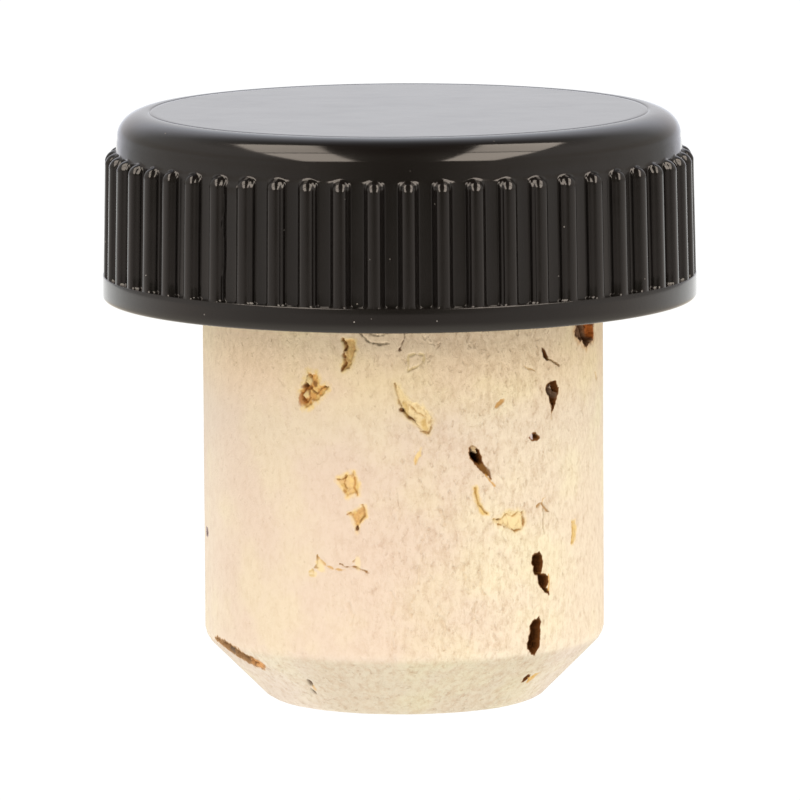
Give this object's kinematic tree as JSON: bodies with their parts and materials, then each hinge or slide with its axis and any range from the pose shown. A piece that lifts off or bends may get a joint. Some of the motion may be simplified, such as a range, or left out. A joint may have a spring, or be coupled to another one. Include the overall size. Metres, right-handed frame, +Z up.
{
  "type": "bottle stopper",
  "caption": "T-shaped bottle stopper: a ribbed black plastic grip head on a chamfered natural cork shank.",
  "frame": {"origin": "centre of the face the stopper stands on, under the head's axis, at the shank's lower end", "axes": "+Z up the stopper's axis from the shank to the head; -Y is the side that faces the viewer"},
  "size_m": [0.0288, 0.0288, 0.0287],
  "materials": {
    "plastic_head": "gloss",
    "cork_shank": "matte"
  },
  "bodies": {
    "root": {"plastic_head": "plastic_head", "cork_shank": "cork_shank"}
  },
  "joints": []
}
